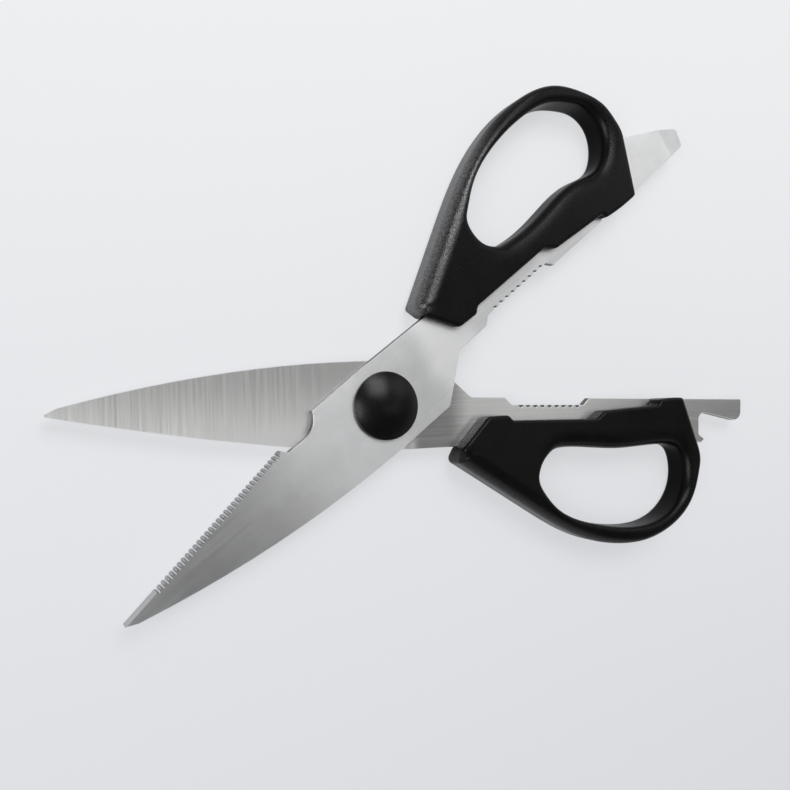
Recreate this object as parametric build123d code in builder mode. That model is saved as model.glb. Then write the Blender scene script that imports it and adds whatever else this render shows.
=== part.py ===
from build123d import *
import math
import os

# Kitchen shears lying flat on a table, opened as for a wide cut.
# Millimetres. The pivot axis is Z, the table is z = 0, and +X runs from the pivot
# to the handles along the line on which the two halves meet when they close.
# Each half is drawn closed, with its handle below that line and the face that
# meets the other half at height zero, and is then turned open about the pivot.

# Opening
open_angle = 36.0

# Stamped steel
steel_thickness = 2.2
blade_gap = 0.05
edge_break = 0.15
blade_reach = 80.6
nose_length = 2.6
tip_width = 0.5
spine_height = 11.8
nose_height = 1.6
heel_depth = 11.6
bevel_width = 0.6
edge_land = 0.25
back_edge_end = 16.4
back_edge_depth = 10.6
back_edge_bulge = 0.8

# Bolster and toothed tang
bolster_length = 14.9
bolster_round = 1.3
neck_start = 27.0
neck_height = 1.6
neck_round = 2.0
tang_slope = 0.0285
recess_length = 29.2
waist_length = 22.9
step_length = 9.7
recess_depth = 2.0
recess_ramp = 2.2
tooth_lead = 3.0
tooth_tail = 1.8
tooth_pitch = 2.45
tooth_radius = 0.72

# Serrated stretch and bone notch of the front blade
serration_heel = 30.4
serration_tip_gap = 8.3
serration_pitch = 1.31
serration_radius = 0.42
serration_depth = 0.25
serration_tilt = 22.0
notch_heel = 16.5
notch_heel_depth = 11.1
notch_length = 12.5
notch_height = 6.8
notch_edge_depth = 8.5
notch_lead = 1.6
notch_curve = 5.9

# Bottle opener and lid lifter on the back tang
opener_length = 28.9
opener_width = 14.6
opener_round = 2.8
opener_corner_round = 0.5
mouth_round = 2.4
hook_round = 0.4

# Screwdriver tip on the front tang
driver_length = 33.8
driver_width = 16.2
driver_round = 0.8
driver_grind = 7.8
driver_tip_thickness = 1.2

# Moulded handles
grip_thickness = 10.0
closing_gap = 0.15
tang_cover = 1.0
tang_flare = 2.0
heel_start = 21.3
heel_top = 12.2
heel_undercut = 2.0
back_heel_drop = 16.0
front_heel_setback = 1.5
front_heel_drop = 15.6
slope_run = 8.2
slope_end_level = 3.8
jaw_shelf = 6.4
jaw_lead = 1.9
jaw_lead_level = 3.6
jaw_ramp = 1.5
jaw_level = 5.1
jaw_end_level = 5.6
jaw_tail = 2.2
jaw_tail_ramp = 3.4
waist_level = 3.3
step_level = 2.2
step_ramp = 0.6
block_start_drop = 0.5
block_end_drop = 0.15
front_block_extra = 4.3
back_ring_overhang = 5.8
back_grip_depth = 42.8
front_ring_overhang = 11.9
front_grip_depth = 43.2
loop_round = 1.6
ring_round = 1.7
contour_round = 0.6
corner_round = 0.8
lock_hole_radius = 2.0

# Pivot
shoulder_radius = 3.5
shoulder_clearance = 0.05
key_flat = 2.8
thread_radius = 2.5
thread_chamfer = 0.4
thread_relief = 0.1
head_radius = 6.0
head_height = 1.3
slot_width = 1.2
slot_depth = 0.7
spring_thickness = 0.4
spring_dish = 0.3
spring_radius = 5.8
washer_thickness = 0.4
washer_radius = 4.4
nut_across_flats = 8.0
nut_height = 1.3
nut_chamfer = 0.3
cap_radius = 8.85
cap_rim = 1.0
cap_height = 3.3
cap_edge_round = 0.4
cap_clearance = 0.1
cap_fit = 0.05
back_cap_skin = 0.8
back_cap_round = 0.6

# Longer than any cut needs
overrun = 4.0

# Finger ring and finger loop of each handle, as shares of its reach and depth.
back_ring_shares = [
    (0.436, -0.738),
    (0.580, -0.928),
    (0.728, -1.000),
    (0.873, -0.923),
    (0.972, -0.707),
    (0.999, -0.520),
    (0.995, -0.345),
]
back_loop_shares = [
    (0.435, -0.465),
    (0.477, -0.336),
    (0.553, -0.313),
    (0.703, -0.341),
    (0.867, -0.331),
    (0.928, -0.367),
    (0.948, -0.498),
    (0.935, -0.661),
    (0.864, -0.832),
    (0.796, -0.881),
    (0.710, -0.881),
    (0.616, -0.841),
    (0.486, -0.703),
    (0.448, -0.596),
]
front_ring_shares = [
    (0.403, -0.674),
    (0.583, -0.912),
    (0.757, -1.000),
    (0.884, -0.935),
    (0.947, -0.803),
    (0.993, -0.625),
    (1.000, -0.490),
    (0.994, -0.375),
]
front_loop_shares = [
    (0.439, -0.528),
    (0.468, -0.350),
    (0.530, -0.306),
    (0.652, -0.317),
    (0.802, -0.338),
    (0.870, -0.316),
    (0.933, -0.433),
    (0.950, -0.560),
    (0.938, -0.683),
    (0.898, -0.783),
    (0.835, -0.870),
    (0.761, -0.894),
    (0.630, -0.856),
    (0.505, -0.722),
    (0.465, -0.639),
]

# Opener outline past the handle, as shares of its length and width: beak corner,
# mouth corner, mouth wall, hook tooth and hook root.
opener_shares = [
    (0.983, -0.589),
    (0.356, -0.315),
    (0.346, -0.822),
    (0.426, -0.932),
    (0.374, -1.000),
]

# Driver outline past the handle, as shares of its length and width: the end's three
# corners, then the side that runs back into the handle, bent where the grinding starts.
driver_shares = [
    (0.964, -0.125),
    (1.000, -0.420),
    (0.974, -0.485),
    (0.772, -0.673),
    (0.340, -1.000),
]

# Holes that lock the moulded handle to the tang, as shares of the tang's reach and
# of the heel depth.
lock_hole_shares = [
    (0.340, -0.700),
    (0.820, -0.620),
]

# Planes of the two halves. Local height grows towards the other half.
half_turn = math.radians(open_angle / 2)
mid_height = grip_thickness / 2
back_plane = Plane(
    origin=(0, 0, mid_height),
    x_dir=(math.cos(half_turn), -math.sin(half_turn), 0),
    z_dir=(0, 0, 1),
)
front_plane = Plane(
    origin=(0, 0, mid_height),
    x_dir=(math.cos(half_turn), math.sin(half_turn), 0),
    z_dir=(0, 0, -1),
)
inner_face = -blade_gap / 2
outer_face = inner_face - steel_thickness
bevel_depth = steel_thickness - edge_land

# Places that follow from the sizes
slope_end = heel_start + slope_run
recess_start = slope_end + jaw_shelf + jaw_lead
recess_end = recess_start + recess_length
step_start = recess_end + waist_length
tang_reach = step_start + step_length
back_grip_end = tang_reach
front_grip_end = tang_reach + front_block_extra
back_grip_reach = tang_reach + back_ring_overhang
front_grip_reach = tang_reach + front_ring_overhang
spine_run = blade_reach - nose_length
spine_drop = spine_height - nose_height
spine_radius = (spine_run**2 + spine_drop**2) / (2 * spine_drop)
tooth_run = recess_length - 2 * recess_ramp - tooth_lead - tooth_tail
tooth_count = 1 + int(tooth_run / tooth_pitch)
serration_run = blade_reach - serration_heel - serration_tip_gap
serration_count = round(serration_run / serration_pitch)


def sized(shares, length, width):
    """Points of a table of shares, at the given length and width."""
    return [(along * length, across * width) for along, across in shares]


def spine_line(x):
    """Height of the spine's arc above the closing line."""
    return spine_height - spine_radius + math.sqrt(spine_radius**2 - x**2)


def tang_line(x):
    """Height of the tang's inner edge above the closing line."""
    return neck_height - tang_slope * (x - neck_start)


def corner_at(sketch, points):
    """The sketch's vertices that lie at the given points."""
    return [sketch.vertices().sort_by_distance(Vector(*point))[0] for point in points]


def edges_near(part, plane, points):
    """The part's edges that pass nearest to points given in a half's plane."""
    found = []
    for point in points:
        place = plane.from_local_coords(Vector(*point))
        found.append(part.edges().sort_by(lambda edge: edge.distance_to(place))[0])
    return found


# Points along the spine, the bolster and the tang's inner edge, shared by both halves.
nose = (-spine_run, nose_height)
spine_middle = (nose[0] / 2, spine_line(nose[0] / 2))
spine_top = (0, spine_height)
bolster_corner = (bolster_length, spine_height)
neck_corner = (neck_start, neck_height)
tip_upper = (-blade_reach, tip_width / 2)
tip_lower = (-blade_reach, -tip_width / 2)


def recess_point(x):
    """A point on the floor of the toothed recess."""
    return (x, tang_line(x) - recess_depth)


def tang_top(grip_end, tool_corner):
    """Bolster and inner edge of the tang, as far as the tool at its end."""
    notch_floor = -closing_gap - tang_cover
    notch_end = grip_end - tang_cover
    Polyline(
        spine_top,
        bolster_corner,
        neck_corner,
        (recess_start, tang_line(recess_start)),
        recess_point(recess_start + recess_ramp),
        recess_point(recess_end - recess_ramp),
        (recess_end, tang_line(recess_end)),
        (step_start, tang_line(step_start)),
        (step_start, notch_floor),
        (notch_end, notch_floor),
        (notch_end, tang_line(notch_end)),
        tool_corner,
    )


def blade_spine():
    """Spine arc and the short line down to the tip."""
    ThreePointArc(spine_top, spine_middle, nose)
    Line(nose, tip_upper)
    Line(tip_upper, tip_lower)


def tang_holes():
    """Round holes that the moulded handle fills, cut in the blank."""
    with Locations(*sized(lock_hole_shares, tang_reach, heel_depth)):
        Circle(lock_hole_radius, mode=Mode.SUBTRACT)


def tooth_gaps():
    """Row of half-round gaps along the floor of the toothed recess."""
    first = recess_start + recess_ramp + tooth_lead
    places = [recess_point(first + tooth_pitch * i) for i in range(tooth_count)]
    with Locations(*places):
        Circle(tooth_radius, mode=Mode.SUBTRACT)


def dull_rims(flat, place):
    """Edges of a flat side, without the one that runs along the cutting edge."""
    ranked = flat.edges().sort_by(lambda edge: edge.distance_to(place))
    return ranked[1:]


# Back blade: plain edge, bottle opener and lid lifter.
opener_points = [
    (tang_reach + x, y) for x, y in sized(opener_shares, opener_length, opener_width)
]
opener_end = tang_reach + opener_length
opener_corner = (opener_end, tang_line(opener_end))
back_edge_heel = (-back_edge_end, -back_edge_depth)
back_edge_middle = (
    (tip_lower[0] + back_edge_heel[0]) / 2,
    (tip_lower[1] + back_edge_heel[1]) / 2 - back_edge_bulge,
)

with BuildPart() as back_blade:
    with BuildSketch(back_plane.offset(outer_face)) as blank:
        with BuildLine():
            blade_spine()
            tang_top(back_grip_end, opener_corner)
            Polyline(
                opener_corner,
                *opener_points,
                (back_grip_end - tang_flare, -heel_depth),
                (0, -heel_depth),
                back_edge_heel,
            )
            ThreePointArc(back_edge_heel, back_edge_middle, tip_lower)
        make_face()
        fillet(corner_at(blank, [bolster_corner]), bolster_round)
        fillet(corner_at(blank, [neck_corner]), neck_round)
        fillet(corner_at(blank, [opener_corner]), opener_corner_round)
        fillet(corner_at(blank, [opener_points[0]]), opener_round)
        fillet(corner_at(blank, [opener_points[1]]), mouth_round)
        fillet(corner_at(blank, [opener_points[3]]), hook_round)
        tooth_gaps()
        tang_holes()
    extrude(amount=steel_thickness)
    bevel_edges = edges_near(back_blade, back_plane, [(*back_edge_middle, outer_face)])
    bevel_face = back_blade.faces().sort_by(Axis.Z)[0]
    chamfer(bevel_edges, bevel_width, length2=bevel_depth, reference=bevel_face)
    sharp_place = back_plane.from_local_coords(Vector(*back_edge_middle, inner_face))
    top_flat = back_blade.faces().sort_by(Axis.Z)[-1]
    chamfer(dull_rims(top_flat, sharp_place), edge_break)
    with BuildSketch(back_plane.offset(outer_face)):
        Circle(shoulder_radius + shoulder_clearance)
        Rectangle(
            2 * shoulder_radius + overrun,
            2 * (key_flat + shoulder_clearance),
            mode=Mode.INTERSECT,
        )
    extrude(amount=steel_thickness, mode=Mode.SUBTRACT)

back_blade.part.label = "back_blade"

# Front blade: serrated edge, bone notch and screwdriver tip.
driver_end = tang_reach + driver_length
driver_points = [
    (tang_reach + x, y) for x, y in sized(driver_shares, driver_length, driver_width)
]
notch_start = (-notch_heel - notch_length, -notch_edge_depth)
notch_top = (notch_start[0] + notch_lead, -notch_height)
notch_bend = (-notch_heel - notch_curve, -notch_height)
notch_foot = (-notch_heel, -notch_heel_depth)
tip_point = Vector(*tip_lower)
edge_run = Vector(*notch_start) - tip_point
edge_along = edge_run.normalized()
edge_inward = Vector(-edge_along.Y, edge_along.X)

with BuildPart(front_plane) as front_blade:
    with BuildSketch(front_plane.offset(outer_face)) as blank:
        with BuildLine():
            blade_spine()
            tang_top(front_grip_end, driver_points[0])
            Polyline(
                *driver_points,
                (front_grip_end - tang_flare, -heel_depth),
                (0, -heel_depth),
                notch_foot,
            )
            TangentArc(notch_bend, notch_foot, tangent=(1, 0))
            Polyline(notch_bend, notch_top, notch_start, tip_lower)
        make_face()
        fillet(corner_at(blank, [bolster_corner]), bolster_round)
        fillet(corner_at(blank, [neck_corner]), neck_round)
        fillet(corner_at(blank, driver_points[:1]), driver_round)
        Circle(shoulder_radius + shoulder_clearance, mode=Mode.SUBTRACT)
        tooth_gaps()
        tang_holes()
    extrude(amount=steel_thickness)
    edge_middle = tip_point + edge_run / 2
    bevel_edges = edges_near(
        front_blade, front_plane, [(edge_middle.X, edge_middle.Y, outer_face)]
    )
    bevel_face = front_blade.faces().sort_by(Axis.Z)[-1]
    chamfer(bevel_edges, bevel_width, length2=bevel_depth, reference=bevel_face)
    sharp_place = front_plane.from_local_coords(
        Vector(edge_middle.X, edge_middle.Y, inner_face)
    )
    for side in (0, -1):
        flat = front_blade.faces().filter_by(Axis.Z).sort_by(Axis.Z)[side]
        chamfer(dull_rims(flat, sharp_place), edge_break)

    groove_drop = serration_radius - serration_depth
    groove_axis = edge_inward * math.sin(math.radians(serration_tilt)) + Vector(
        0, 0, -math.cos(math.radians(serration_tilt))
    )
    groove_places = []
    for i in range(serration_count):
        along = edge_run.length - serration_heel + notch_heel + notch_length
        middle = tip_point + edge_along * (along - serration_pitch * i)
        start = middle - edge_inward * groove_drop + Vector(0, 0, inner_face)
        groove_places.append(Plane(start, x_dir=edge_along, z_dir=groove_axis).location)
    with Locations(*groove_places):
        Cylinder(serration_radius, 2 * steel_thickness + overrun, mode=Mode.SUBTRACT)

    # Driver tip ground thinner from the outer face.
    grind_plane = Plane(
        origin=front_plane.origin, x_dir=front_plane.x_dir, z_dir=front_plane.y_dir
    )
    with BuildSketch(grind_plane):
        with BuildLine():
            Polyline(
                (driver_end - driver_grind, -outer_face),
                (driver_end, -outer_face),
                (driver_end, -inner_face + driver_tip_thickness),
                close=True,
            )
        make_face()
    extrude(amount=driver_width, both=True, mode=Mode.SUBTRACT)

front_blade.part.label = "front_blade"

# Moulded handles. Each fills the holes of its tang and wraps the tang's edges.
block_start = (step_start, -closing_gap - block_start_drop)
handle_bottom = mid_height - grip_thickness / 2
undercut_height = mid_height + outer_face - handle_bottom

# Side of the handle that faces the other half, from the heel to the stepped block.
grip_corners = [
    (slope_end, -slope_end_level),
    (recess_start - jaw_lead, -jaw_lead_level),
    (recess_start - jaw_lead + jaw_ramp, -jaw_level),
    (recess_end + jaw_tail - jaw_tail_ramp, -jaw_end_level),
    (recess_end + jaw_tail, -waist_level),
    (step_start - step_ramp, -step_level),
]
upright_corners = [(x, y, 0) for x, y in grip_corners + [block_start]]


def grip_outline(heel, heel_drop, ring, grip_end):
    """Handle outline: heel, finger ring, end, crowned block and stepped side."""
    heel_corner = (heel, -heel_top)
    heel_bottom = (heel, -heel_drop)
    block_end = (grip_end, -closing_gap - block_end_drop)
    block_middle = ((step_start + grip_end) / 2, -closing_gap)
    ring_start = Vector(*ring[0]) - Vector(*heel_bottom)
    ring_finish = Vector(*block_end) - Vector(*ring[-1])
    Line(heel_bottom, ring[0])
    Spline(*ring, tangents=(ring_start, ring_finish))
    Line(ring[-1], block_end)
    ThreePointArc(block_end, block_middle, block_start)
    Polyline(block_start, *reversed(grip_corners), heel_corner, heel_bottom)


def at_both_rims(points):
    """Points of the handle's outline, on its bottom rim and on its top rim."""
    heights = (-grip_thickness / 2, grip_thickness / 2)
    return [(*point, height) for point in points for height in heights]


def heel_rims(heel, heel_drop):
    """Middles of the heel's slope and of its end, whose rims are rounded in turn."""
    slope_middle = ((heel + slope_end) / 2, -(heel_top + slope_end_level) / 2)
    end_middle = (heel, -(heel_top + heel_drop) / 2)
    return slope_middle, end_middle


def undercut_plane(plane, heel):
    """Section across the heel's slope at the handle's bottom, X into the handle."""
    start = plane.from_local_coords(Vector(heel, -heel_top))
    finish = plane.from_local_coords(Vector(slope_end, -slope_end_level))
    inward = (finish - start).cross(plane.z_dir).normalized()
    origin = Vector(start.X, start.Y, handle_bottom)
    return Plane(origin, x_dir=inward, z_dir=inward.cross(Vector(0, 0, 1)))


def undercut_outline():
    """Wedge that slants the heel's slope back, from the steel down to the bottom."""
    Polyline(
        (-heel_undercut, 2 * undercut_height),
        (2 * heel_undercut, -undercut_height),
        (-heel_undercut, -undercut_height),
        close=True,
    )


with BuildPart() as back_handle:
    back_ring = sized(back_ring_shares, back_grip_reach, back_grip_depth)
    back_loop = sized(back_loop_shares, back_grip_reach, back_grip_depth)
    slope_middle, end_middle = heel_rims(heel_start, back_heel_drop)
    with BuildSketch(back_plane.offset(-grip_thickness / 2)):
        with BuildLine():
            grip_outline(heel_start, back_heel_drop, back_ring, back_grip_end)
        make_face()
        with BuildLine():
            Spline(*back_loop, periodic=True)
        make_face(mode=Mode.SUBTRACT)
    extrude(amount=grip_thickness)
    fillet(edges_near(back_handle, back_plane, upright_corners), corner_round)
    for points, radius in (
        (back_loop[:1], loop_round),
        (back_ring[3:4], ring_round),
        ([slope_middle], contour_round),
        ([end_middle], contour_round),
    ):
        rims = edges_near(back_handle, back_plane, at_both_rims(points))
        fillet(rims, radius)
    with BuildSketch(undercut_plane(back_plane, heel_start)):
        with BuildLine():
            undercut_outline()
        make_face()
    extrude(amount=heel_top + overrun, both=True, mode=Mode.SUBTRACT)
    add(back_blade.part, mode=Mode.SUBTRACT)

back_handle.part.label = "back_handle"

with BuildPart() as front_handle:
    front_heel = heel_start + front_heel_setback
    front_ring = sized(front_ring_shares, front_grip_reach, front_grip_depth)
    front_loop = sized(front_loop_shares, front_grip_reach, front_grip_depth)
    slope_middle, end_middle = heel_rims(front_heel, front_heel_drop)
    with BuildSketch(front_plane.offset(-grip_thickness / 2)):
        with BuildLine():
            grip_outline(front_heel, front_heel_drop, front_ring, front_grip_end)
        make_face()
        with BuildLine():
            Spline(*front_loop, periodic=True)
        make_face(mode=Mode.SUBTRACT)
    extrude(amount=grip_thickness)
    fillet(edges_near(front_handle, front_plane, upright_corners), corner_round)
    for points, radius in (
        (front_loop[:1], loop_round),
        (front_ring[3:4], ring_round),
        ([slope_middle], contour_round),
        ([end_middle], contour_round),
    ):
        rims = edges_near(front_handle, front_plane, at_both_rims(points))
        fillet(rims, radius)
    with BuildSketch(undercut_plane(front_plane, front_heel)):
        with BuildLine():
            undercut_outline()
        make_face()
    extrude(amount=heel_top + overrun, both=True, mode=Mode.SUBTRACT)
    add(front_blade.part, mode=Mode.SUBTRACT)

front_handle.part.label = "front_handle"

# Pivot. Heights of the stack, from the table up.
front_top = mid_height - outer_face
back_bottom = mid_height + outer_face
head_bottom = front_top + spring_thickness + spring_dish
head_top = head_bottom + head_height
washer_bottom = back_bottom - washer_thickness
nut_bottom = washer_bottom - nut_height
bolt_end = nut_bottom - thread_relief

with BuildPart() as pivot_bolt:
    with BuildSketch(Plane.XZ):
        with BuildLine():
            Polyline(
                (0, bolt_end),
                (thread_radius - thread_chamfer, bolt_end),
                (thread_radius, bolt_end + thread_chamfer),
                (thread_radius, back_bottom + thread_relief),
                (shoulder_radius, back_bottom + thread_relief),
                (shoulder_radius, head_bottom),
                (head_radius, head_bottom),
                (head_radius, head_top),
                (0, head_top),
                close=True,
            )
        make_face()
    revolve(axis=Axis.Z)
    with BuildSketch(back_plane.offset(inner_face)):
        Circle(shoulder_radius + overrun)
        Rectangle(
            2 * (shoulder_radius + overrun),
            2 * key_flat,
            mode=Mode.SUBTRACT,
        )
    extrude(amount=-steel_thickness + thread_relief, mode=Mode.SUBTRACT)
    with BuildSketch(Plane.XY.offset(head_top)):
        Rectangle(2 * head_radius + overrun, slot_width)
    extrude(amount=-slot_depth, mode=Mode.SUBTRACT)

pivot_bolt.part.label = "pivot_bolt"

with BuildPart() as spring_washer:
    bore = shoulder_radius + shoulder_clearance
    with BuildSketch(Plane.XZ):
        with BuildLine():
            Polyline(
                (bore, front_top + spring_dish),
                (spring_radius, front_top),
                (spring_radius, front_top + spring_thickness),
                (bore, front_top + spring_dish + spring_thickness),
                close=True,
            )
        make_face()
    revolve(axis=Axis.Z)

spring_washer.part.label = "spring_washer"

with BuildPart() as plain_washer:
    with BuildSketch(Plane.XY.offset(washer_bottom)):
        Circle(washer_radius)
        Circle(thread_radius + shoulder_clearance, mode=Mode.SUBTRACT)
    extrude(amount=washer_thickness)

plain_washer.part.label = "plain_washer"

with BuildPart() as pivot_nut:
    with BuildSketch(Plane.XY.offset(nut_bottom)):
        RegularPolygon(nut_across_flats / 2, 6, major_radius=False)
    extrude(amount=nut_height)
    nut_rim = pivot_nut.faces().filter_by(Axis.Z).sort_by(Axis.Z)[0].edges()
    chamfer(nut_rim, nut_chamfer)
    with BuildSketch(Plane.XY.offset(nut_bottom)):
        Circle(thread_radius + shoulder_clearance)
    extrude(amount=nut_height, mode=Mode.SUBTRACT)

pivot_nut.part.label = "pivot_nut"

with BuildPart() as front_cap:
    rim_bottom = front_top + cap_clearance
    rim_top = rim_bottom + cap_rim
    cap_top = rim_bottom + cap_height
    dome_rise = cap_height - cap_rim
    dome_radius = (cap_radius**2 + dome_rise**2) / (2 * dome_rise)
    half_radius = cap_radius / 2
    dome_middle = cap_top - dome_radius + math.sqrt(dome_radius**2 - half_radius**2)
    with BuildSketch(Plane.XZ) as cap_section:
        with BuildLine():
            bore = head_radius + cap_fit
            Polyline(
                (0, cap_top),
                (0, head_top),
                (bore, head_top),
                (bore, rim_bottom),
                (cap_radius, rim_bottom),
                (cap_radius, rim_top),
            )
            ThreePointArc((cap_radius, rim_top), (half_radius, dome_middle), (0, cap_top))
        make_face()
        fillet(corner_at(cap_section, [(cap_radius, rim_top)]), cap_edge_round)
    revolve(axis=Axis.Z)

front_cap.part.label = "front_cap"

with BuildPart() as back_cap:
    with BuildSketch(Plane.XZ) as cap_section:
        with BuildLine():
            bore = nut_across_flats / math.sqrt(3) + cap_fit
            Polyline(
                (0, 0),
                (cap_radius, 0),
                (cap_radius, back_bottom),
                (bore, back_bottom),
                (bore, back_cap_skin),
                (0, back_cap_skin),
                close=True,
            )
        make_face()
        fillet(corner_at(cap_section, [(cap_radius, 0)]), back_cap_round)
    revolve(axis=Axis.Z)

back_cap.part.label = "back_cap"

os.makedirs("parts", exist_ok=True)
for piece in (
    back_blade,
    front_blade,
    back_handle,
    front_handle,
    pivot_bolt,
    spring_washer,
    plain_washer,
    pivot_nut,
    front_cap,
    back_cap,
):
    export_step(piece.part, f"parts/{piece.part.label}.step")
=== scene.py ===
import bmesh
import bpy
import math
import numpy as np
from mathutils import Euler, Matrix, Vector


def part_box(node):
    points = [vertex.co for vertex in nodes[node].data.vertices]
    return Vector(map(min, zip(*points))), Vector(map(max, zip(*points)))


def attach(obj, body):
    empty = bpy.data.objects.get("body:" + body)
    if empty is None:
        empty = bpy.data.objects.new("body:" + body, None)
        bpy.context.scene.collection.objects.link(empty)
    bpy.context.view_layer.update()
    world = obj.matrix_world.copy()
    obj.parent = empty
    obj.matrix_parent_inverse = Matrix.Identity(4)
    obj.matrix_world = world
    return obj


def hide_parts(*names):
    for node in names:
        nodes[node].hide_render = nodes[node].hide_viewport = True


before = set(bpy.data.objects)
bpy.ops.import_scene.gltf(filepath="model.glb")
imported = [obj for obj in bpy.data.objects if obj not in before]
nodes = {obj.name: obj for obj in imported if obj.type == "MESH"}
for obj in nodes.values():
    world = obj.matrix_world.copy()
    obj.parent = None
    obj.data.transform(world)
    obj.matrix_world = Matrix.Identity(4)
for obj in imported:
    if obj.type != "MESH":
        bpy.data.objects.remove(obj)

# kitchen shears lying open on a pale table, seen from above and a little to the left
scene = bpy.context.scene
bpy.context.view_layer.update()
scene.view_settings.view_transform = "Standard"
print("frame loaded:", len(nodes), "nodes")

cameraSettings = {
    "place": (-0.080553, 0.024792, 0.195211),
    "turn": (2.0, -24.8, -20.1),  # degrees about x, y and z
    "lens": 36.456,
    "sensor": 36.0,
    "clip": (0.01, 20.0),
}


def makeCamera(s):
    data = bpy.data.cameras.new("camera")
    data.lens = s["lens"]
    data.sensor_width = s["sensor"]
    data.clip_start, data.clip_end = s["clip"]
    obj = bpy.data.objects.new("camera", data)
    scene.collection.objects.link(obj)
    obj.location = s["place"]
    obj.rotation_euler = Euler([math.radians(a) for a in s["turn"]], "XYZ")
    scene.camera = obj


makeCamera(cameraSettings)
print("camera ready")


class Tree:
    # a short way to add shader nodes and join them
    def __init__(self, owner):
        owner.use_nodes = True
        self.tree = owner.node_tree
        self.tree.nodes.clear()

    def add(self, kind, values=None, **settings):
        node = self.tree.nodes.new(kind)
        for name, value in settings.items():
            setattr(node, name, value)
        for name, value in (values or {}).items():
            if isinstance(value, bpy.types.NodeSocket):
                self.tree.links.new(value, node.inputs[name])
            else:
                node.inputs[name].default_value = value
        return node

    def math(self, operation, a, b=0.0, c=0.0, clamp=False):
        return self.add("ShaderNodeMath", {0: a, 1: b, 2: c}, operation=operation,
                        use_clamp=clamp).outputs[0]

    def rescale(self, value, source, target=(0.0, 1.0), smooth=False):
        kind = "SMOOTHSTEP" if smooth else "LINEAR"
        return self.add("ShaderNodeMapRange", {0: value, 1: source[0], 2: source[1], 3: target[0],
                        4: target[1]}, interpolation_type=kind).outputs[0]

    def blendFloat(self, factor, a, b):
        return self.add("ShaderNodeMix", {0: factor, 2: a, 3: b}, data_type="FLOAT").outputs[0]

    def noise(self, vector, scale, detail, roughness):
        return self.add("ShaderNodeTexNoise", {"Vector": vector, "Scale": scale, "Detail": detail,
                        "Roughness": roughness}).outputs[0]

    def turned(self, vector, angle):
        return self.add("ShaderNodeMapping", {"Vector": vector, "Rotation": (0, 0, angle)}).outputs[0]

    def squeezed(self, vector, shares):
        return self.add("ShaderNodeMapping", {"Vector": vector, "Scale": shares}).outputs[0]

    def scaled(self, color, shade):
        return self.add("ShaderNodeVectorMath", {0: color, "Scale": shade}, operation="SCALE").outputs[0]

    def upward(self, normal):
        # how far the surface looks up: 1 on top, 0 on the walls and -1 below
        way = self.add("ShaderNodeNewGeometry").outputs[normal]
        way = self.add("ShaderNodeVectorTransform", {0: way}, vector_type="NORMAL",
                       convert_from="WORLD", convert_to="OBJECT")
        return self.add("ShaderNodeSeparateXYZ", {0: way.outputs[0]}).outputs[2]

    def mixOf(self, parts):
        # adds up values, each times its share
        total = None
        for value, share in parts:
            part = self.math("MULTIPLY", value, share)
            total = part if total is None else self.math("ADD", total, part)
        return total

    def finish(self, shader):
        out = self.add("ShaderNodeOutputMaterial")
        self.tree.links.new(shader.outputs[0], out.inputs[0])


halfTurn = math.radians(18)  # how far each half lies from the line on which they close
# what both blades share; a noise is given as scale, detail and roughness
steel = {
    "tangStart": (0.004, 0.012),  # along the half, where the tang's finish takes over
    "lines": (  # stretch along the lines, number across them, detail, roughness, share
        (70, 5200, 2.0, 0.6, 0.55),  # fine hair lines
        (25, 1500, 2.0, 0.5, 0.36),  # thicker lines
        (10, 420, 1.0, 0.5, 0.09),  # faint bands
    ),
    "cloudNoise": (110.0, 3.0, 0.55),
    "topFace": (0.12, 0.42),  # how far up a facet looks where it turns from wall to face
    "underFace": (-0.90, -0.98),
    "lineRough": 0.2,  # how much the lines change the roughness
    "bumpStrength": 0.15,
    "bumpDepth": 0.00001,
}
# spread: how far light spreads across the lines; wall: brightness of the stamped walls and the
# undersides, partly a duller cut finish and partly painted shade; then the steps of brightness along the
# half, as from, to and share, which are painted highlight and painted shade; across: places across the
# blade and the shares of painted light and shade there; grain: angle of the lines to the half's length,
# in degrees
backSteel = {
    **steel,
    "color": (0.80, 0.80, 0.79),
    "turn": halfTurn,
    "rough": 0.34,
    "spread": 0.75,
    "wall": 0.12,
    # painted light along the back half: a little brighter inwards of the tip, painted shade on the tang
    # beside the bolster where the front half shades it, and a painted highlight further out; across the
    # blade, painted shade along the spine and painted light along the edge
    "paintedLightSteps": ((-0.070, -0.050, 0.10), (0.004, 0.010, -0.55), (0.019, 0.027, 0.62)),
    "across": ((-0.009, 0.010), (0.18, -0.18)),
    "bladeGrain": 90.0,
    "tangGrain": 0.0,
    "bladeLines": 0.24,
    "tangLines": 0.60,
    "clouds": 0.03,
}
frontSteel = {
    **steel,
    "color": (0.80, 0.805, 0.81),
    "turn": -halfTurn,
    "rough": 0.36,
    "spread": 0.35,
    "wall": 0.06,
    # painted light and shade along the front half: darker along the middle of the blade, a painted
    # highlight by the notch, painted shade at the pivot, a painted highlight at the bolster's heel, and
    # less again beyond
    "paintedLightSteps": ((-0.075, -0.060, -0.14), (-0.045, -0.023, 0.28), (-0.006, 0.004, -0.20),
              (0.013, 0.022, 0.32), (0.028, 0.036, -0.22)),
    "across": ((-0.010, 0.010), (0.0, 0.0)),
    "bladeGrain": 0.0,
    "tangGrain": 0.0,
    "bladeLines": 0.10,
    "tangLines": 0.20,
    "clouds": 0.32,
}


def brushing(t, place, grain, lines):
    # noises drawn out along the given direction, and added up by their shares
    along = t.turned(place, -grain)
    parts = []
    for stretch, number, detail, roughness, share in lines:
        drawn = t.squeezed(along, (stretch, number, stretch))
        parts.append((t.noise(drawn, 1.0, detail, roughness), share))
    return t.mixOf(parts)


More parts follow.
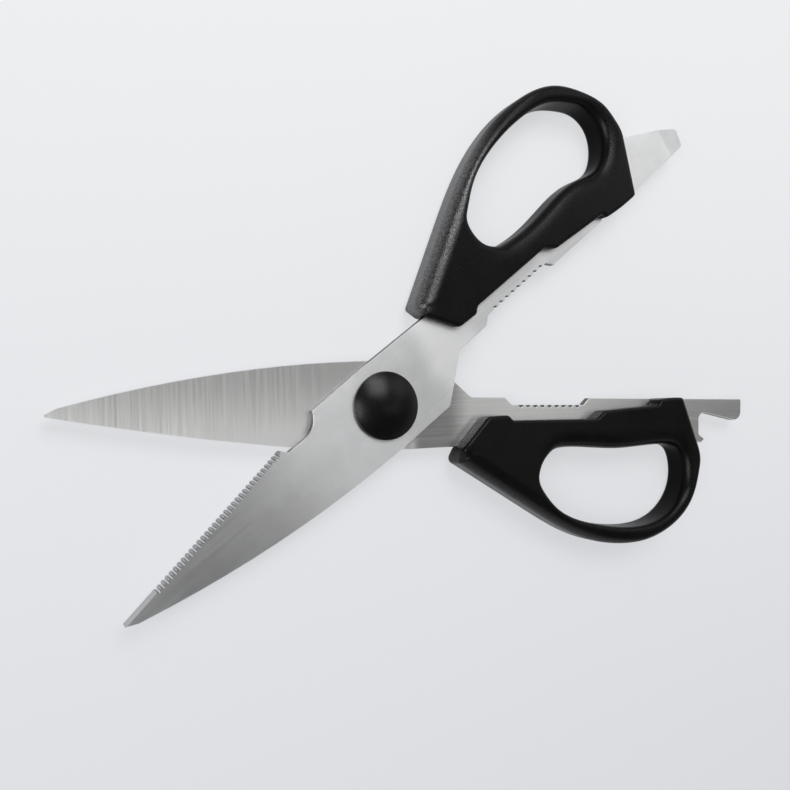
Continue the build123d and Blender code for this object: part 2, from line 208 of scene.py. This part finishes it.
def bladeSteel(name, s):
    mat = bpy.data.materials.new(name)
    t = Tree(mat)
    place = t.add("ShaderNodeTexCoord").outputs["Object"]
    half = t.turned(place, s["turn"])
    split = t.add("ShaderNodeSeparateXYZ", {0: half})
    along, across = split.outputs[0], split.outputs[1]
    isTang = t.rescale(along, s["tangStart"], smooth=True)
    bladeAngle = math.radians(s["bladeGrain"])
    tangAngle = math.radians(s["tangGrain"])
    bladeLines = brushing(t, half, bladeAngle, s["lines"])
    tangLines = brushing(t, half, tangAngle, s["lines"])
    lines = t.blendFloat(isTang, bladeLines, tangLines)
    depth = t.blendFloat(isTang, s["bladeLines"], s["tangLines"])
    centred = t.math("SUBTRACT", lines, 0.5)
    clouds = t.math("SUBTRACT", t.noise(place, *s["cloudNoise"]), 0.5)
    shade = t.math("ADD", t.math("MULTIPLY", centred, depth), 1.0)
    shade = t.math("ADD", shade, t.math("MULTIPLY", clouds, s["clouds"]))
    # painted highlight and painted shade in steps along the half
    for start, end, share in s["paintedLightSteps"]:
        shade = t.math("ADD", shade, t.rescale(along, (start, end), (0.0, share), smooth=True))
    # painted light and painted shade across the blade, left off the tang
    paintedLightAcross = t.rescale(across, *s["across"], smooth=True)
    shade = t.math("ADD", shade, t.blendFloat(isTang, paintedLightAcross, 0.0))
    # the stamped side walls and the lower edges are duller than the faces, partly their cut finish and
    # partly painted shade
    upward = t.upward("True Normal")
    isFace = t.math("MAXIMUM", t.rescale(upward, s["topFace"], smooth=True),
                    t.rescale(upward, s["underFace"], smooth=True))
    shade = t.math("MULTIPLY", shade, t.blendFloat(isFace, s["wall"], 1.0))
    rough = t.math("ADD", t.math("MULTIPLY", centred, s["lineRough"]), s["rough"], clamp=True)
    bump = t.add("ShaderNodeBump", {"Height": lines, "Strength": s["bumpStrength"],
                                    "Distance": s["bumpDepth"]})
    # light spreads across the lines
    ways = []
    for angle in (bladeAngle, tangAngle):
        spreadAngle = angle + math.pi / 2 - s["turn"]
        ways.append((math.cos(spreadAngle), math.sin(spreadAngle), 0))
    way = t.add("ShaderNodeMix", {0: isTang, 4: ways[0], 5: ways[1]}, data_type="VECTOR")
    tangent = t.add("ShaderNodeVectorTransform", {0: way.outputs[1]}, vector_type="VECTOR",
                    convert_from="OBJECT", convert_to="WORLD")
    t.finish(t.add("ShaderNodeBsdfPrincipled", {
        "Base Color": t.scaled(s["color"], shade), "Metallic": 1.0, "Roughness": rough,
        "Normal": bump.outputs[0], "Anisotropic": s["spread"], "Tangent": tangent.outputs[0]}))
    return mat


# the bolt, the nut and their washers
hardware = {
    "color": (0.5, 0.5, 0.5),
    "rough": (0.34, 0.46),
    "grain": (3000.0, 3.0, 0.6),
    "grainRange": (0.2, 0.8),  # the part of the noise that is used
    "shade": (0.85, 1.12),
    "bumpStrength": 0.3,
    "bumpDepth": 0.00002,
}


def plainSteel(name, s):
    mat = bpy.data.materials.new(name)
    t = Tree(mat)
    place = t.add("ShaderNodeTexCoord").outputs["Object"]
    grain = t.noise(place, *s["grain"])
    shade = t.rescale(grain, s["grainRange"], s["shade"])
    bump = t.add("ShaderNodeBump", {"Height": grain, "Strength": s["bumpStrength"],
                                    "Distance": s["bumpDepth"]})
    t.finish(t.add("ShaderNodeBsdfPrincipled", {
        "Base Color": t.scaled(s["color"], shade), "Metallic": 1.0,
        "Roughness": t.rescale(grain, s["grainRange"], s["rough"]),
        "Normal": bump.outputs[0]}))
    return mat


# what the handles and the caps share
plastic = {
    "color": (0.003, 0.003, 0.0033),
    "rough": (0.23, 0.37),
    "patches": (120.0, 3.0, 0.55),
    "patchShade": (0.8, 1.25),
    "grainShare": 0.7,  # how much grain and patches each change the roughness
    "patchShare": 0.3,
    "noiseRange": (0.3, 0.7),
    "bumpStrength": 0.7,
}
# depth: how deep the grain is; level: how much a face shines; rubbed: whether the piece carries
# the attribute of its outer side, which has a level and a depth of its own
handlePlastic = {
    **plastic,
    "grain": (2400.0, 2.0, 0.6),
    "depth": 0.00006,
    "level": 0.16,
    "rubbed": True,
    "wallLevel": 0.05,
    "wallToFace": (0.2, 0.8),  # how far up the surface looks where it turns from wall to face
    "outerLevel": 1.5,
    "outerDepth": 0.00018,
    "specks": (2200.0, 1.0, 0.5),
    "speckRange": (0.35, 0.65),
    "speckLevel": (0.55, 1.45),
}
capPlastic = {
    **plastic,
    "grain": (3200.0, 2.0, 0.6),
    "depth": 0.00001,
    "level": 0.25,
    "rubbed": False,
}


def rubbedShine(t, place, s):
    # the outer side, rubbed by the hand, shines more and shows its grain, and the walls of the
    # loop shine less
    outer = t.add("ShaderNodeAttribute", attribute_name="outerSide").outputs["Fac"]
    upward = t.math("ABSOLUTE", t.upward("Normal"))
    level = t.rescale(upward, s["wallToFace"], (s["wallLevel"], s["level"]), smooth=True)
    specks = t.rescale(t.noise(place, *s["specks"]), s["speckRange"], s["speckLevel"])
    level = t.blendFloat(outer, level, t.math("MULTIPLY", specks, s["outerLevel"]))
    return level, t.blendFloat(outer, s["depth"], s["outerDepth"])


def blackPlastic(name, s):
    mat = bpy.data.materials.new(name)
    t = Tree(mat)
    place = t.add("ShaderNodeTexCoord").outputs["Object"]
    grain = t.noise(place, *s["grain"])
    patches = t.noise(place, *s["patches"])
    shade = t.rescale(patches, s["noiseRange"], s["patchShade"])
    mixed = t.mixOf([(grain, s["grainShare"]), (patches, s["patchShare"])])
    level, depth = rubbedShine(t, place, s) if s["rubbed"] else (s["level"], s["depth"])
    bump = t.add("ShaderNodeBump", {"Height": grain, "Strength": s["bumpStrength"],
                                    "Distance": depth})
    shader = t.add("ShaderNodeBsdfPrincipled", {
        "Base Color": t.scaled(s["color"], shade),
        "Roughness": t.rescale(mixed, s["noiseRange"], s["rough"]),
        "Specular IOR Level": level, "Normal": bump.outputs[0]})
    shader.inputs["Specular IOR Level"].default_value = s["level"]  # stays where a link is dropped
    t.finish(shader)
    return mat


def dress(node, mat):
    mesh = nodes[node].data
    mesh.materials.clear()
    mesh.materials.append(mat)


dress("back_blade", bladeSteel("backSteel", backSteel))
dress("front_blade", bladeSteel("frontSteel", frontSteel))
handleBlack = blackPlastic("handleBlack", handlePlastic)
capBlack = blackPlastic("capBlack", capPlastic)
dress("front_handle", handleBlack)
dress("back_handle", handleBlack)
dress("front_cap", capBlack)
dress("back_cap", capBlack)
hardwareSteel = plainSteel("hardwareSteel", hardware)
for name in ("pivot_bolt", "spring_washer", "plain_washer", "pivot_nut"):
    dress(name, hardwareSteel)
print("materials ready")

# each handle is a finer copy of its CAD solid, whose top edge rolls off along the outer walls
# that look back to the pivot and along the loop; the steel side keeps its crisp edges; places
# are in the half's own frame, x along the half and y across it, with the handle at negative y
handleShape = {
    "grid": 0.0004,  # size of the remesh's cubes
    "merge": 0.000001,
    "smoothing": 4,
    "smoothShare": 0.5,
    "blur": 0.0012,  # how much further off a wall may be and still count
    "middle": 0.005,
    "top": 0.010,
    "cutLift": 0.000003,  # lifts the level cut off the corners that lie at the middle
    "loopCentre": (0.0767, -0.026),
    "steelSide": (-0.013, -0.008),  # across the half, where the roll ends towards the steel
    "shineWay": (-0.9, -0.44),  # where the rubbed part of the outer wall looks
    "shineFacing": (0.5, 0.9),
    "shineShare": {"front_handle": 1.0, "back_handle": 0.25},
    # way: where a rolled wall looks; facing: how squarely, from no roll to the full one; radius
    # and drop: how wide and how deep the roll is
    "outerWall": {"way": (-0.75, -0.66), "facing": (0.5, 0.9), "radius": 0.0048, "drop": 0.0034},
    "loopWall": {"way": (-0.8, -0.6), "facing": (0.0, 0.5), "radius": 0.0055, "drop": 0.0022},
}
turnCos = math.cos(halfTurn)
turnSin = math.sin(halfTurn)
halfFrames = {
    "front_handle": ((turnCos, turnSin), (turnSin, -turnCos)),
    "back_handle": ((turnCos, -turnSin), (turnSin, turnCos)),
}


def smoothRise(value, low, high):
    # from 0 at low to 1 at high, level at both ends: three times the square less twice the cube
    share = np.clip((value - low) / (high - low), 0.0, 1.0)
    return share * share * (3.0 - 2.0 * share)


def vertexPlaces(mesh):
    places = np.empty(len(mesh.vertices) * 3, dtype=np.float32)
    mesh.vertices.foreach_get("co", places)
    return places.reshape(-1, 3)


def wallCut(mesh, height):
    # where a level cut crosses each triangle: the two ends of the crossing, each in its share
    # between the lone corner and one of the others, and the way outwards
    mesh.calc_loop_triangles()
    corners = np.empty(len(mesh.loop_triangles) * 3, dtype=np.int32)
    mesh.loop_triangles.foreach_get("vertices", corners)
    sides = vertexPlaces(mesh)[corners.reshape(-1, 3)]
    above = sides[:, :, 2] > height
    crossed = above.any(axis=1) & ~above.all(axis=1)
    sides, above = sides[crossed], above[crossed]
    lone = np.where(above.sum(axis=1) == 1, above.argmax(axis=1), (~above).argmax(axis=1))
    order = (lone[:, None] + np.arange(3)) % 3
    sides = np.take_along_axis(sides, order[:, :, None], axis=1)
    share = (height - sides[:, :1, 2]) / (sides[:, 1:, 2] - sides[:, :1, 2])
    ends = sides[:, :1] + share[:, :, None] * (sides[:, 1:] - sides[:, :1])
    out = np.cross(sides[:, 1] - sides[:, 0], sides[:, 2] - sides[:, 0])[:, :2]
    return ends[:, :, :2], out / np.linalg.norm(out, axis=1, keepdims=True)


def wallGaps(flat, ends, tiny=1e-12):
    # how far each place is from each wall: the distance to the nearest point between its ends
    start = ends[None, :, 0]
    run = (ends[:, 1] - ends[:, 0])[None]
    away = flat[:, None] - start
    along = (away * run).sum(axis=2) / np.maximum((run * run).sum(axis=2), tiny)
    return np.linalg.norm(away - np.clip(along, 0.0, 1.0)[:, :, None] * run, axis=2)


def wallPull(flat, ends, radius, blur):
    # how near each place is to its nearest wall, from 1 there to 0 at the radius, and how much
    # each wall counts: a bell curve of how much further off it is, times its length
    gaps = wallGaps(flat, ends)
    nearest = gaps.min(axis=1)
    lengths = np.linalg.norm(ends[:, 1] - ends[:, 0], axis=1)
    pull = np.exp(-((gaps - nearest[:, None]) / blur) ** 2) * lengths
    pull /= pull.sum(axis=1, keepdims=True)
    return np.clip(1.0 - nearest / radius, 0.0, 1.0), pull


def finerCopy(node, name, s):
    # the solid's copy, merged, remeshed in small cubes and smoothed
    mesh = nodes[node].data.copy()
    merged = bmesh.new()
    merged.from_mesh(mesh)
    bmesh.ops.remove_doubles(merged, verts=merged.verts, dist=s["merge"])
    merged.to_mesh(mesh)
    merged.free()
    rough = bpy.data.objects.new(name + "Rough", mesh)
    scene.collection.objects.link(rough)
    remesh = rough.modifiers.new("finer", "REMESH")
    remesh.mode = "VOXEL"
    remesh.voxel_size = s["grid"]
    smooth = rough.modifiers.new("smoother", "SMOOTH")
    smooth.factor = s["smoothShare"]
    smooth.iterations = s["smoothing"]
    graph = bpy.context.evaluated_depsgraph_get()
    done = bpy.data.meshes.new_from_object(rough.evaluated_get(graph))
    bpy.data.objects.remove(rough)
    bpy.data.meshes.remove(mesh)
    done.name = name
    return done


def rolledHandle(node, body, s):
    # the height above the middle shrinks by a quarter circle's fall towards each rolled wall,
    # and where a place has several walls near it, their falls are averaged by their pull
    name = node + "_soft"
    frameWays = np.array(halfFrames[node])
    ends, out = wallCut(nodes[node].data, s["middle"] + s["cutLift"])
    ends = ends @ frameWays.T
    out = out @ frameWays.T
    middles = ends.mean(axis=1)
    towardLoop = ((np.array(s["loopCentre"]) - middles) * out).sum(axis=1) > 0.0
    clear = smoothRise(-middles[:, 1], -s["steelSide"][1], -s["steelSide"][0])
    mesh = finerCopy(node, name, s)
    places = vertexPlaces(mesh)
    flat = places[:, :2] @ frameWays.T
    drop = np.zeros(len(places))
    for walls, chosen in ((s["loopWall"], towardLoop), (s["outerWall"], ~towardLoop)):
        facing = smoothRise(out @ np.array(walls["way"]), *walls["facing"]) * clear
        near, pull = wallPull(flat, ends[chosen], walls["radius"], s["blur"])
        fall = walls["drop"] * (pull @ facing[chosen]) * (1.0 - np.sqrt(1.0 - near * near))
        drop = np.maximum(drop, fall)
    # near, pull, facing and chosen are now the outer wall's, and only that wall is rubbed
    shining = smoothRise(out @ np.array(s["shineWay"]), *s["shineFacing"]) * s["shineShare"][node]
    shine = near * (pull @ (facing * shining)[chosen])
    height = places[:, 2] - s["middle"]
    shrink = 1.0 - drop / (s["top"] - s["middle"])
    places[:, 2] = s["middle"] + np.where(height > 0.0, height * shrink, height)
    box = [np.array(v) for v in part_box(node)]
    places = np.clip(places, box[0], box[1]).astype(np.float32)
    mesh.vertices.foreach_set("co", places.reshape(-1))
    shineLayer = mesh.attributes.new("outerSide", "FLOAT", "POINT")
    shineLayer.data.foreach_set("value", smoothRise(shine, 0.0, 1.0).astype(np.float32))
    mesh.materials.clear()
    mesh.materials.append(handleBlack)
    mesh.polygons.foreach_set("use_smooth", [True] * len(mesh.polygons))
    mesh.update()
    obj = bpy.data.objects.new(name, mesh)
    scene.collection.objects.link(obj)
    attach(obj, body)
    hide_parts(node)
    print(name, len(mesh.polygons), "faces")


rolledHandle("front_handle", "front_half", handleShape)
rolledHandle("back_handle", "back_half", handleShape)
print("handles ready")

# the floor is a shade lighter at the far side, up in the picture; glow is the share of it
# that the camera and reflections see as plain colour, and the rest takes light and shadow
floorSettings = {
    "half": 2.0,
    "drop": 0.0004,
    "near": (0.735, 0.745, 0.775, 1),
    "far": (0.86, 0.87, 0.885, 1),
    "fade": (-0.16, 0.16),
    "turn": 22.0,  # degrees from the frame's y to the way in which it fades
    "glow": 0.7,
}


def makeFloor(s):
    h = s["half"]
    mesh = bpy.data.meshes.new("floor")
    mesh.from_pydata([(-h, -h, 0), (h, -h, 0), (h, h, 0), (-h, h, 0)], [], [(0, 1, 2, 3)])
    obj = bpy.data.objects.new("floor", mesh)
    obj.location.z = -s["drop"]
    scene.collection.objects.link(obj)
    mat = bpy.data.materials.new("floorPaper")
    t = Tree(mat)
    place = t.add("ShaderNodeTexCoord").outputs["Object"]
    turned = t.turned(place, math.radians(s["turn"]))
    depth = t.add("ShaderNodeSeparateXYZ", {0: turned}).outputs[1]
    fade = t.rescale(depth, s["fade"], smooth=True)
    color = t.add("ShaderNodeMix", {0: fade, 6: s["near"], 7: s["far"]}, data_type="RGBA").outputs[2]
    path = t.add("ShaderNodeLightPath")
    paper = t.add("ShaderNodeBsdfDiffuse", {"Color": color})
    glow = t.add("ShaderNodeEmission", {"Color": color, "Strength": 1.0})
    seen = t.math("ADD", path.outputs["Is Camera Ray"], path.outputs["Is Glossy Ray"])
    seen = t.math("ADD", seen, path.outputs["Is Transmission Ray"], clamp=True)
    share = t.math("MULTIPLY", seen, s["glow"])
    t.finish(t.add("ShaderNodeMixShader", {0: share, 1: paper.outputs[0], 2: glow.outputs[0]}))
    mesh.materials.append(mat)


# dim overhead, pale near the horizon
worldSettings = {"high": 0.10, "low": 0.7, "fade": (0.10, 0.55), "color": (0.985, 0.99, 1.0, 1)}


def makeWorld(s):
    world = bpy.data.worlds.new("studio")
    scene.world = world
    t = Tree(world)
    height = t.add("ShaderNodeSeparateXYZ", {0: t.add("ShaderNodeTexCoord").outputs["Generated"]})
    level = t.rescale(height.outputs[2], s["fade"], (s["low"], s["high"]), smooth=True)
    sky = t.add("ShaderNodeBackground", {"Color": s["color"], "Strength": level})
    out = t.add("ShaderNodeOutputWorld")
    t.tree.links.new(sky.outputs[0], out.inputs[0])


# each lamp: where it stands as seen from the pivot, how far, width, height and brightness
lamps = {
    "northBox": {"toward": (0.28, 0.60, 1.0), "distance": 1.0, "size": (0.50, 0.50), "level": 5.5},
    "farBox": {"toward": (0.28, 1.20, 1.0), "distance": 1.0, "size": (0.50, 0.40), "level": 1.3},
    "westBox": {"toward": (-0.95, 0.15, 1.0), "distance": 1.0, "size": (0.50, 0.60), "level": 5.4},
    "eastBox": {"toward": (1.25, 0.35, 1.0), "distance": 1.1, "size": (0.50, 0.50), "level": 1.0},
    "southEastBox": {"toward": (0.64, -0.24, 1.0), "distance": 1.1, "size": (0.30, 0.26), "level": 0.7},
    "notchBox": {"toward": (0.30, -0.20, 1.0), "distance": 1.0, "size": (0.16, 0.16), "level": 1.1},
}


def softbox(name, s):
    # its power gives its face that many times the brightness of a white sheet in plain light
    data = bpy.data.lights.new(name, "AREA")
    data.shape = "RECTANGLE"
    data.size, data.size_y = s["size"]
    data.energy = s["level"] * math.pi * s["size"][0] * s["size"][1]
    obj = bpy.data.objects.new(name, data)
    scene.collection.objects.link(obj)
    way = Vector(s["toward"]).normalized()
    obj.location = way * s["distance"]
    obj.rotation_euler = (-way).to_track_quat("-Z", "Y").to_euler()
    obj.visible_camera = False


makeFloor(floorSettings)
makeWorld(worldSettings)
for name, settings in lamps.items():
    softbox(name, settings)
print("stage ready")
